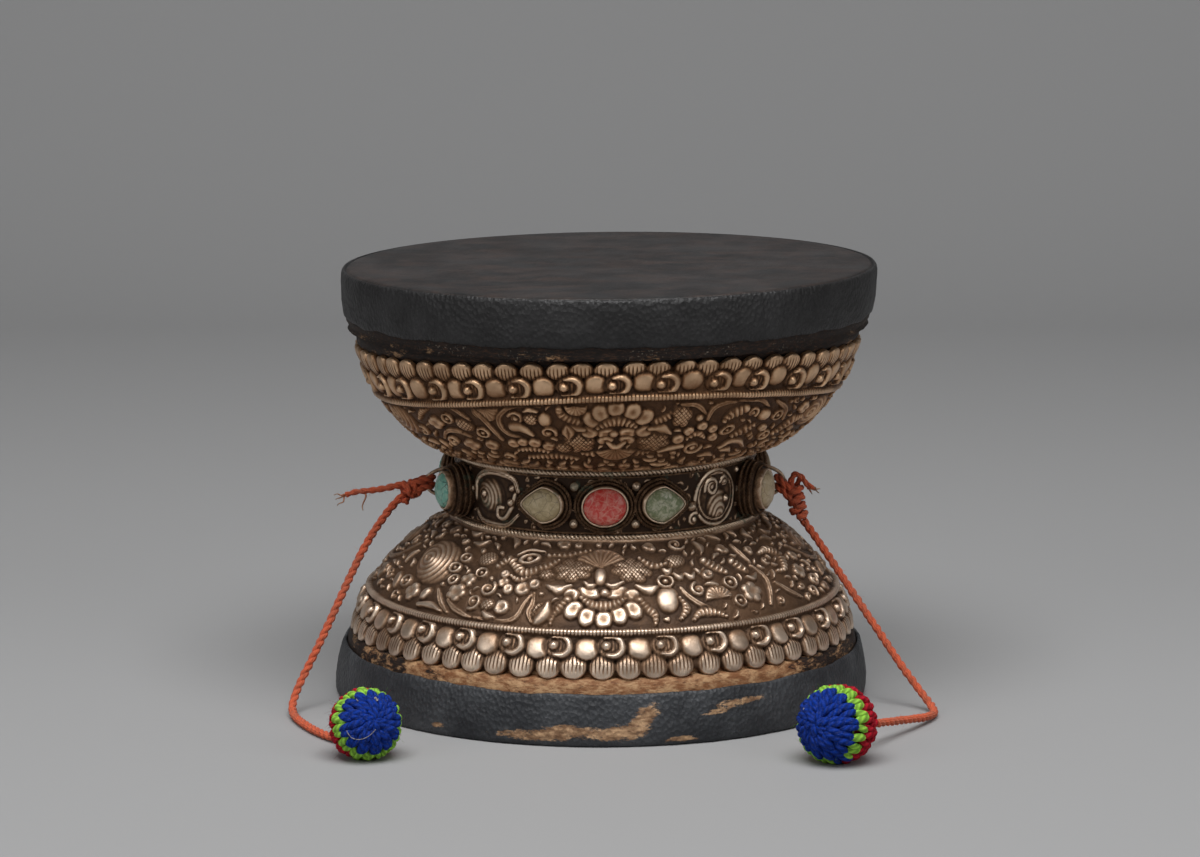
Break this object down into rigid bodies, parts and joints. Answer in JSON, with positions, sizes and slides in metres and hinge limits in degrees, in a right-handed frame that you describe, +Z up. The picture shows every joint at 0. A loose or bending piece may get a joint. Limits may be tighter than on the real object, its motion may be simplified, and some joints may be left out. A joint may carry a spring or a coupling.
{
  "type": "damaru drum",
  "caption": "Hourglass ritual hand drum with a hide on each mouth, embossed metal bowls, a stone-set waist belt and a corded crocheted striker on each side.",
  "frame": {"origin": "on the floor under the middle of the drum as it stands on its lower head", "axes": "+Z up the drum's axis, -Y towards the front, where the strikers lie, +X to the front viewer's right"},
  "size_m": [0.1558, 0.1524, 0.1059],
  "materials": {
    "turned_wood": "satin",
    "black_hide": "matte",
    "grey_hide": "matte",
    "embossed_silver": "satin",
    "dark_silver": "satin",
    "coral_stone": "satin",
    "olive_stone": "satin",
    "green_stone": "satin",
    "turquoise_stone": "satin",
    "amber_stone": "satin",
    "red_cord": "matte",
    "crochet_yarn": "matte"
  },
  "bodies": {
    "root": {"wooden_body": "turned_wood", "upper_head": "black_hide", "lower_head": "grey_hide", "upper_cladding": "embossed_silver", "lower_cladding": "embossed_silver", "waist_belt": "dark_silver", "front_coral_stone": "coral_stone", "front_olive_stone": "olive_stone", "front_green_stone": "green_stone", "front_left_turquoise_stone": "turquoise_stone", "front_right_amber_stone": "amber_stone", "back_coral_stone": "coral_stone", "back_olive_stone": "olive_stone", "back_green_stone": "green_stone", "back_left_turquoise_stone": "turquoise_stone", "back_right_amber_stone": "amber_stone", "left_cord_knot": "red_cord", "right_cord_knot": "red_cord", "left_cord": "red_cord", "right_cord": "red_cord", "left_striker_ball": "crochet_yarn", "right_striker_ball": "crochet_yarn"}
  },
  "joints": []
}
